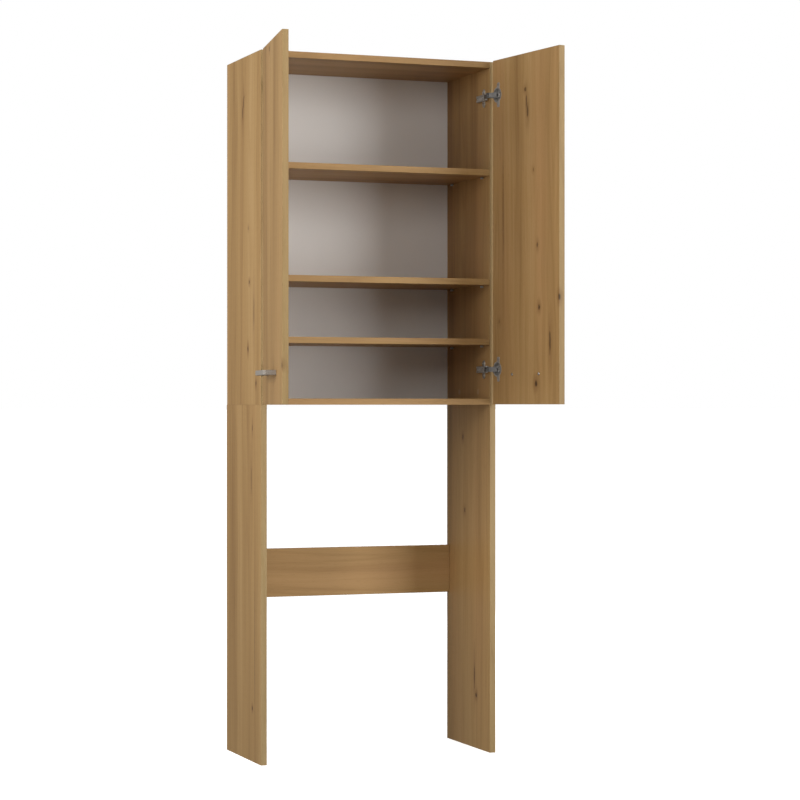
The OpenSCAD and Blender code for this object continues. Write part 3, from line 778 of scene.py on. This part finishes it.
def screw(head_r, head_h, shank_r, length):
    """Cross-head screw: the head stands up from z = 0 and the shank hangs down."""
    tip, root = 1.5 * shank_r, 0.72 * shank_r
    pitch, threaded = 1.1 * shank_r, 0.8 * length
    profile = [(0, -length), (0.35 * shank_r, -length)]
    turns = max(2, int(threaded / pitch))
    for i in range(turns):
        z = -length + tip + 0.9 * threaded * i / turns
        profile += [(shank_r, z), (root, z + 0.25 * shank_r)]
    profile += [(0.8 * shank_r, -0.2 * length), (0.85 * shank_r, 0)]
    profile = [(r, min(z, -0.01 * MM)) for r, z in profile]
    profile += [(0.95 * head_r, 0), (head_r, 0.15 * head_h)]
    for degrees in range(15, 90, 15):
        turn = math.radians(degrees)
        profile.append((head_r * math.cos(turn), head_h * (0.35 + 0.65 * math.sin(turn))))
    whole = lathe(profile + [(0, head_h)], 28)
    for turn in (0, math.pi / 2):
        tool = cross_arm(1.1 * head_r, head_h, 0.75 * head_h, turn)
        whole = combine(whole, tool, "DIFFERENCE")
    return whole


def place_screws(name, node, axis, heads, place, body, head_r, head_h, shank_r, spin):
    """Stands a detailed screw in for each solid of a CAD node of screws. The heads are at
    the low, high or inward end of the axis, and spin turns each cross a bit further."""
    parts, made = [], None
    index = "xyz".index(axis)
    for low, high in solids(node, place):
        spot = (low + high) / 2
        flip = heads == "low" or (heads == "inward" and spot.x > 0)
        length = high[index] - low[index] - head_h
        spot[index] = low[index] + head_h if flip else high[index] - head_h
        if made is None:
            made = screw(head_r, head_h, shank_r, length)
        turned = Matrix.Rotation(spin * len(parts), 4, "Z")
        parts.append((made, place @ at(spot, along(axis, flip) @ turned)))
    put(name, parts, SCREW, body, node)


place_screws("plate_fixing_screws", "hinge_plate_screws", "x", "inward", WORLD, "cabinet",
             5 * MM, 2.4 * MM, 3.15 * MM, 0.9)
place_screws("arm_fixing_screws", "hinge_arm_screws", "x", "inward", WORLD, "cabinet",
             4.2 * MM, 2.2 * MM, 2.4 * MM, 0.9)
place_screws("bracket_fixing_screws", "wall_bracket_screws", "z", "high", WORLD, "cabinet",
             3.6 * MM, 2.2 * MM, 1.75 * MM, 0.7)
for side in SIDES:
    place_screws(side + "_cup_fixing_screws", side + "_hinge_cup_screws", "y", "low",
                 OPEN[side], side + "_door", 3.3 * MM, 1.0 * MM, 1.75 * MM, 0.7)
    place_screws(side + "_handle_fixing_screws", side + "_handle_screws", "y", "low",
                 OPEN[side], side + "_door", 4.0 * MM, 2.4 * MM, 1.95 * MM, 0.7)


def shelf_supports():
    """Plated pins with a domed end, a collar and a groove behind it."""
    parts = []
    for low, high in solids("shelf_pins"):
        spot = (low + high) / 2
        inward = spot.x > 0
        radius = (high.z - low.z) / 2
        half = (high.x - low.x) / 2
        spot.x = low.x if inward else high.x
        dome = [(radius * math.sin(math.radians(a)), 0.9 * MM * (1 - math.cos(math.radians(a))))
                for a in (20, 45, 70, 90)]
        profile = ([(0, 0)] + dome + [(radius, half - 1.6 * MM), (0.86 * radius, half - 1.4 * MM),
                   (0.86 * radius, half - 0.9 * MM), (radius, half - 0.7 * MM),
                   (radius, half), (0.83 * radius, half), (0.83 * radius, 1.95 * half),
                   (0.7 * radius, 2 * half), (0, 2 * half)])
        parts.append((lathe(profile, 24), at(spot, along("x", not inward))))
    put("shelf_supports", parts, ZINC, "cabinet", "shelf_pins")


def panel_nails():
    """Nails of the back panel, with slightly domed heads."""
    parts = []
    for low, high in solids("back_panel_nails"):
        spot = (low + high) / 2
        radius = (high.z - low.z) / 2
        length = high.y - low.y
        spot.y = high.y
        profile = [(0, -length), (0.35 * radius, -length + 1.6 * MM), (0.35 * radius, -0.6 * MM),
                   (0.9 * radius, -0.55 * MM), (radius, -0.4 * MM), (0.96 * radius, -0.2 * MM),
                   (0.7 * radius, -0.05 * MM), (0, 0)]
        parts.append((lathe(profile, 20), at(spot, along("y"))))
    put("panel_nails", parts, SCREW, "cabinet", "back_panel_nails")


shelf_supports()
panel_nails()


# -------- handles

def bow_handle(side):
    """A flat bar bent into a bow, with softly rounded edges and a crowned face."""
    node = side + "_handle"
    low, high = box_in(node, OPEN[side])
    middle = centre((low, high))
    half, reach, tall = (high.x - low.x) / 2, high.y, (high.z - low.z) / 2
    foot, bar, crown = 12 * MM, 6 * MM, 0.5 * MM
    outer_r, inner_r = 7 * MM, 3 * MM
    crowned, crown_steps = half - 9 * MM, 6
    bend_y = reach - crown - outer_r
    outer = [(half, 0)] + arc(half - outer_r, bend_y, outer_r, 0, 82, 9)
    for i in range(2 * crown_steps + 1):
        share = 1 - i / crown_steps
        outer.append((crowned * share, reach - crown * share * share))
    outer += arc(outer_r - half, bend_y, outer_r, 98, 180, 9) + [(-half, 0)]
    inside, bend_y = half - foot, reach - bar - inner_r
    inner = ([(-inside, 0)] + arc(inner_r - inside, bend_y, inner_r, 180, 90, 6)
             + arc(inside - inner_r, bend_y, inner_r, 90, 0, 6) + [(inside, 0)])
    bm = prism(outer + inner, -tall, tall, 1.3 * MM, 4)
    place = OPEN[side] @ at((middle.x, 0, middle.z))
    put(side + "_bow_handle", [(bm, place)], SATIN, side + "_door", node, 50)


for side in SIDES:
    bow_handle(side)


# -------- hinges

HINGE_SPAN = 100 * MM
CUP_R = 17.5 * MM
FLANGE_R = 20 * MM
FLANGE_T = 1 * MM
LUG_R = 3.6 * MM
LUG_Z = (3.3 * MM, 4.8 * MM)
ARM_SHEET = 1.5 * MM
ARM_NOSE_R = 4 * MM
PLATE_T = 2.5 * MM
PLATE_WING_R = 7 * MM
SPINE_HALF = 6.4 * MM
PAST = 5 * MM  # how far a cutting tool reaches past the part


def of_hinge(node, place, height):
    """The middles of a node's solids that belong to this side's hinge at a height."""
    spots = [centre(box) for box in solids(node, place)]
    return [spot for spot in spots
            if spot.x < HINGE_SPAN and abs(spot.z - height) < HINGE_SPAN / 2]


def hinge_part(side, level, kind, place):
    """A hinge part's node, its lowest and highest corner there and its mid height."""
    node = f"{side}_{level}_hinge_{kind}"
    low, high = box_in(node, place)
    return node, low, high, (low.z + high.z) / 2


def polar(outline, rings):
    """Surface of rings round one axis. A ring is (share, radius, height): its radius runs
    from the given one to the outline by the share."""
    bm = bmesh.new()
    made = []
    for share, radius, height in rings:
        ring = []
        for x, z in (outline if share or radius else outline[:1]):
            reach = math.hypot(x, z)
            grown = (radius + share * (reach - radius)) / reach
            ring.append(bm.verts.new((grown * x, grown * z, height)))
        made.append(ring)
    bridge(bm, made, len(outline))
    return bm


def flange_outline(round_r, offset, wing_half, wing_r):
    """Outline of a cup's flange round the cup: a disc with two wings that lie off its
    middle line, each with one straight and one slanted side."""
    corner_r = 3 * MM
    shift = abs(offset)
    meet = math.degrees(math.acos(-min(1.0, (shift + wing_r) / round_r)))
    top, corner = wing_half + wing_r - corner_r, wing_r - corner_r
    upper = (arc(0, 0, round_r, 0, 84, 14) + arc(corner - shift, top, corner_r, 12, 90, 8)
             + arc(-corner - shift, top, corner_r, 90, 180, 8)
             + arc(0, 0, round_r, meet, 180, 8))
    whole = upper + [(x, -z) for x, z in reversed(upper[1:-1])]
    lean = -1 if offset > 0 else 1
    return [(lean * x, z) for x, z in whole]


def cup_shell(outline, depth):
    """Pressed cup and flange. Heights run into the door from the flange's outer face."""
    r = CUP_R
    return polar(outline, [
        (0, 0, depth - 1 * MM), (0, r - 3.2 * MM, depth - 1 * MM),
        (0, r - 1.6 * MM, depth - 1.6 * MM), (0, r - 1 * MM, depth - 3 * MM),
        (0, r - 1 * MM, 0.9 * MM), (0, r - 0.8 * MM, 0.35 * MM), (0, r - 0.3 * MM, 0.05 * MM),
        (0, r + 0.4 * MM, 0), (0, r + 1.0 * MM, 0.12 * MM), (0.35, r + 1.2 * MM, 0.16 * MM),
        (0.90, r, 0.10 * MM), (0.97, r, 0.22 * MM), (1, r, 0.5 * MM), (1, r, FLANGE_T),
        (0, r, FLANGE_T), (0, r, depth - 3 * MM), (0, r - 0.8 * MM, depth - 0.9 * MM),
        (0, r - 2.6 * MM, depth), (0, 0, depth)])


def hinge_cup(side, level):
    """Cup and flange, with the two lugs that hold the cup pin."""
    node, low, high, middle_z = hinge_part(side, level, "cup", OPEN[side])
    wing = of_hinge(side + "_hinge_cup_screws", OPEN[side], middle_z)[0]
    pin = of_hinge(side + "_hinge_cup_pins", OPEN[side], middle_z)[0]
    wing_half = abs(wing.z - middle_z)
    cup_x = low.x + FLANGE_R
    outline = flange_outline(
        FLANGE_R, wing.x - cup_x, wing_half, (high.z - low.z) / 2 - wing_half)
    into_door = Matrix(((1, 0, 0, cup_x), (0, 0, 1, low.y), (0, 1, 0, middle_z), (0, 0, 0, 1)))
    parts = [(cup_shell(outline, high.y - low.y), OPEN[side] @ into_door)]
    lug_end = high.y - 0.5 * MM
    lug_outline = arc(pin.x, pin.y, LUG_R, 180, 360, 12) + [
        (pin.x + LUG_R, lug_end), (pin.x - LUG_R, lug_end)]
    for sign in (-1, 1):
        ends = sorted(middle_z + sign * z for z in LUG_Z)
        parts.append((prism(lug_outline, *ends, 0.3 * MM), OPEN[side]))
    put(f"{side}_{level}_pressed_cup", parts, NICKEL, side + "_door", node)


def arm_channel(low, high):
    """Channel with a web, two cheeks and a raised nose, in the shut door's frame."""
    half = (high.z - low.z) / 2
    foot, rear, front = low.x, low.y, high.y
    web, fold, step = foot + 6.5 * MM, 0.6 * MM, 6 * MM
    nose_x = high.x - ARM_NOSE_R
    shoulder = front - ARM_NOSE_R - 6.5 * MM
    cheek = ([(foot, rear + 3 * MM), (foot + 1.5 * MM, rear), (web - fold, rear),
              (web, rear + fold), (web, shoulder - step), (high.x, shoulder)]
             + arc(nose_x, front - ARM_NOSE_R, ARM_NOSE_R, 0, 180, 12)
             + [(nose_x - ARM_NOSE_R, shoulder - 2 * MM), (foot, shoulder - step)])
    blank = prism(cheek, -half, half)
    break_edges(blank, 0.9 * MM, 3, 60)
    under_web, under_nose = web - ARM_SHEET, web + 9 * MM
    hollow = prism([(foot - PAST, rear - PAST), (under_web, rear - PAST),
                    (under_web, shoulder - step - 0.4 * MM), (under_nose, shoulder - 4 * MM),
                    (under_nose, front + PAST), (foot - PAST, front + PAST)],
                   ARM_SHEET - half, half - ARM_SHEET, 0.5 * MM)
    return combine(blank, hollow, "DIFFERENCE"), web


def hinge_arm(side, level):
    """Channel arm pressed from sheet, with an open rear slot and a window."""
    node, low, high, middle_z = hinge_part(side, level, "arm", SHUT[side])
    channel, web = arm_channel(low, high)
    ys = sorted(spot.y for spot in of_hinge("hinge_arm_screws", SHUT[side], middle_z))
    slot_half = 2.4 * MM
    slot_end = rounded_box((low.y - PAST, -slot_half), (ys[0], slot_half), 2.3 * MM)
    for outline in (capsule((ys[0] + ys[1]) / 2, 0, 0, 2.2 * MM), slot_end):
        tool = prism(outline, web - 4 * MM, web + 2 * MM)
        tool.transform(SIDEWAYS)
        channel = combine(channel, tool, "DIFFERENCE")
    put(f"{side}_{level}_channel_arm", [(channel, SHUT[side] @ at((0, 0, middle_z)))], NICKEL,
        "cabinet", node)


def hinge_plate(side, level):
    """Cross-shaped plate: flat wings with a raised spine."""
    node, low, high, middle_z = hinge_part(side, level, "plate", SHUT[side])
    wing_y = of_hinge("hinge_plate_screws", SHUT[side], middle_z)[0].y
    wing_half = (high.z - low.z) / 2 - PLATE_WING_R
    wings = prism(capsule(wing_y, 0, wing_half, PLATE_WING_R, 14), 0, PLATE_T, 0.5 * MM)
    spine = prism(rounded_box((low.y, -SPINE_HALF), (high.y, SPINE_HALF), 2.4 * MM),
                  0, high.x - low.x, 0.8 * MM, 3)
    place = SHUT[side] @ at((low.x, 0, middle_z), SIDEWAYS)
    put(f"{side}_{level}_cross_plate", [(wings, place), (spine, place)], NICKEL, "cabinet",
        node)


for side in SIDES:
    for level in LEVELS:
        hinge_cup(side, level)
        hinge_arm(side, level)
        hinge_plate(side, level)


# -------- wall brackets

def upright_corners(sheet, wide, thick):
    """The edges through a bent sheet at its ends, which are the corners of its legs."""
    return [e for e in sheet.edges if e.is_manifold
            and abs(e.calc_length() / thick - 1) < 0.01
            and all(abs(abs(v.co.z) - wide) < 1e-6 for v in e.verts)]


def wall_brackets():
    """Bent steel angles with a rounded fold, rounded corners and countersunk holes."""
    parts = []
    thick, fold, inner_fold = 2 * MM, 2.6 * MM, 0.8 * MM
    sink, sink_depth = 3 * MM, 0.8 * MM
    for low, high in solids("wall_brackets"):
        wide, leg, tall = (high.x - low.x) / 2, high.y - low.y, high.z - low.z
        inside = leg - thick
        side_view = ([(0, 0), (leg - fold, 0)] + arc(leg - fold, fold, fold, 270, 360, 6)
                     + [(leg, tall), (inside, tall), (inside, thick + inner_fold),
                        (inside - inner_fold, thick), (0, thick)])
        sheet = prism(side_view, -wide, wide)
        bmesh.ops.bevel(sheet, geom=upright_corners(sheet, wide, thick), offset=4 * MM,
                        segments=6, profile=0.5, affect="EDGES")
        for spot, axis, radius in (
                ((leg / 2, thick / 2, 0), "y", 2.05 * MM),
                ((leg - thick / 2, tall / 2 + 2 * MM, 0), "x", 2.75 * MM)):
            cone_start, cone_end = thick / 2 - sink_depth, thick / 2 + sink - sink_depth
            bore = lathe([(0, -PAST), (radius, -PAST), (radius, cone_start),
                          (radius + sink, cone_end), (0, cone_end)])
            bmesh.ops.transform(bore, matrix=at(spot, along(axis, axis == "x")),
                                verts=bore.verts)
            sheet = combine(sheet, bore, "DIFFERENCE")
        break_edges(sheet, 0.25 * MM, 2, 50)
        parts.append((sheet, at((centre((low, high)).x, low.y, low.z), SIDEWAYS)))
    put("angle_brackets", parts, ZINC, "cabinet", "wall_brackets")


wall_brackets()


# -------- stage

FLOOR_REACH = 400
DOME_BACK, DOME_FRONT, MIRRORED, CEILING = 0.04, 0.25, 0.30, 0.9
BRIGHT_SIDE = (-0.12, -0.91, -0.40)
# azimuth (0 in front, 90 at the left), distance, height, width and height, watts
SOFTBOXES = {
    "right_softbox": (-35, 3.0, 1.6, (1.2, 3.2), 80),
    "front_softbox": (20, 3.4, 2.3, (1.3, 1.4), 19),
    "left_softbox": (71, 2.8, 1.5, (2.4, 1.8), 72),
    "back_fill": (-145, 4.5, 2.2, (2.4, 2.0), 95),
}
CAMERA_AT, CAMERA_TURN = (-2.1156, -5.7179, 0.9080), -20.7185
FOCAL_LENGTH, CAMERA_SHIFT = 107.46, 0.00546


def floor():
    """A pale floor out to far outside the view, faintly mottled. It glows with painted light
    that is weaker round the rack, which paints it a touch greyer there. Only the camera sees
    it, so that it throws no colour up."""
    bm = bmesh.new()
    bmesh.ops.create_grid(bm, x_segments=60, y_segments=60, size=FLOOR_REACH)
    material, graph, shader = new_material("pale_floor")
    spot = graph.source("Object")
    cloud = graph.noise(spot, (1.5, 1.5, 1.5), detail=3)
    graph.feed(shader.inputs["Base Color"], graph.mix(
        cloud, (0.90, 0.90, 0.90), (0.93, 0.93, 0.93)))
    graph.feed(shader.inputs["Roughness"], graph.ramp(cloud, 0.3, 0.7, 0.75, 0.85))
    shader.inputs["Specular IOR Level"].default_value = 0.2
    shader.inputs["Emission Color"].default_value = (1, 1, 1, 1)
    away = graph.vector("LENGTH", graph.scaled(spot, (1, 1, 0)))
    # painted light: the floor glows, more weakly near the rack, which paints a faint shade round it
    graph.feed(shader.inputs["Emission Strength"], graph.ramp(away, 0.6, 4.0, 0.80, 1.0))
    ground = as_object("floor", bm, material)
    ground.visible_diffuse = False
    ground.visible_glossy = False
    ground.visible_shadow = False


def surroundings():
    """White to the camera, and at least pale in the metal. The rest is lit by a dome that
    is bright in front and a bright patch of ceiling."""
    world = bpy.data.worlds.new("studio")
    world.use_nodes = True
    bpy.context.scene.world = world
    graph = Graph(world.node_tree)
    world.node_tree.nodes.clear()
    direction = graph.source("Generated")
    facing = graph.add("ShaderNodeVectorMath", {0: direction, 1: BRIGHT_SIDE},
                       operation="DOT_PRODUCT").outputs["Value"]
    shade = graph.ramp(facing, -0.45, 0.45, DOME_BACK, DOME_FRONT)
    up = graph.split(direction)[2]
    shade = graph.math("MAXIMUM", shade, graph.ramp(up, 0.88, 0.96, 0, CEILING))
    rays = graph.add("ShaderNodeLightPath").outputs
    shade = graph.math("MAXIMUM", shade, graph.times(rays["Is Glossy Ray"], MIRRORED))
    shade = graph.math("MAXIMUM", shade, rays["Is Camera Ray"])
    sky = graph.add("ShaderNodeBackground", {"Color": (1, 1, 1, 1), "Strength": shade})
    graph.add("ShaderNodeOutputWorld", {0: sky.outputs[0]})


def softbox(name, azimuth, distance, height, size, watts):
    """A rectangular light that faces the rack's middle line at its own height."""
    lamp = bpy.data.lights.new(name, "AREA")
    lamp.shape = "RECTANGLE"
    lamp.size, lamp.size_y = size
    lamp.energy = watts
    turn = math.radians(azimuth)
    obj = bpy.data.objects.new(name, lamp)
    obj.location = (-distance * math.sin(turn), -distance * math.cos(turn), height)
    obj.rotation_mode = "QUATERNION"
    to_rack = Vector((0, 0, height)) - obj.location
    obj.rotation_quaternion = to_rack.to_track_quat("-Z", "Y")
    bpy.context.scene.collection.objects.link(obj)


def camera():
    """Level and at mid height, from the front left, so that upright edges stay upright."""
    lens = bpy.data.cameras.new("camera")
    lens.sensor_width = 36
    lens.lens = FOCAL_LENGTH
    lens.shift_y = CAMERA_SHIFT
    view = bpy.data.objects.new("camera", lens)
    view.location = CAMERA_AT
    view.rotation_euler = (math.radians(90), 0, math.radians(CAMERA_TURN))
    bpy.context.scene.collection.objects.link(view)
    bpy.context.scene.camera = view


floor()
surroundings()
for name, settings in SOFTBOXES.items():
    softbox(name, *settings)
camera()
bpy.context.scene.view_settings.view_transform = "Standard"
